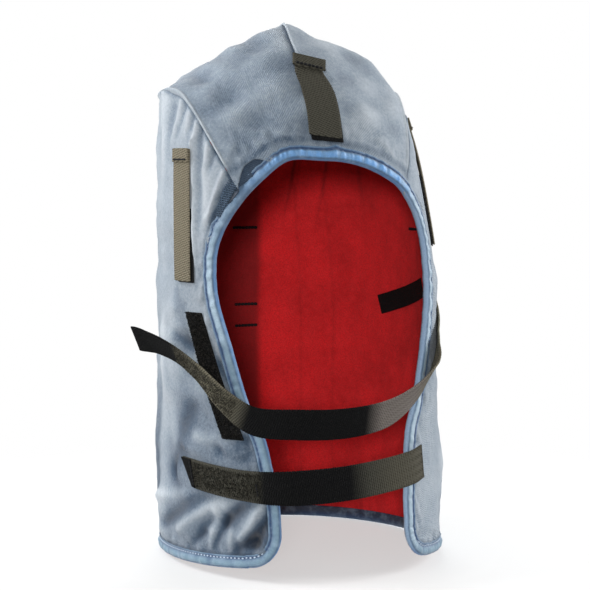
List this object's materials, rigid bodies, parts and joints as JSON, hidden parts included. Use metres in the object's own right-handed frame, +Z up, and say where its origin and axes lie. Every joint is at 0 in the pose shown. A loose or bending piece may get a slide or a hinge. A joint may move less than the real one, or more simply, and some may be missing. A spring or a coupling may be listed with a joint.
{
  "type": "hard hat winter liner",
  "caption": "Soft twill hood with a fleece lining, worn under a hard hat: gabled crown, long neck drape, bound face opening, chin and mouth straps and fastening tabs.",
  "frame": {"origin": "inside top of the crown lining, where the top of the wearer's head sits", "axes": "+Z up through the crown, -Y out of the face opening, +X to the wearer's left"},
  "size_m": [0.2536, 0.2474, 0.4077],
  "materials": {
    "twill": "blue-grey cotton twill",
    "fleece": "red brushed fleece",
    "binding": "light blue satin binding",
    "webbing": "dark olive webbing",
    "tan_webbing": "tan webbing",
    "hook_and_loop": "black hook and loop tape"
  },
  "bodies": {
    "root": {"crown_left": "twill", "crown_right": "twill", "drape": "twill", "lining_crown": "fleece", "lining_drape": "fleece", "edge_binding": "binding", "front_tab": "webbing", "front_tab_patch": "hook_and_loop", "rear_tab": "webbing", "inner_patch": "hook_and_loop", "mouth_strap": "webbing", "chin_strap": "webbing", "cheek_patch": "hook_and_loop", "side_tab_left": "tan_webbing", "side_tab_left_patch": "hook_and_loop", "side_tab_right": "tan_webbing", "side_tab_right_patch": "hook_and_loop"}
  },
  "joints": []
}
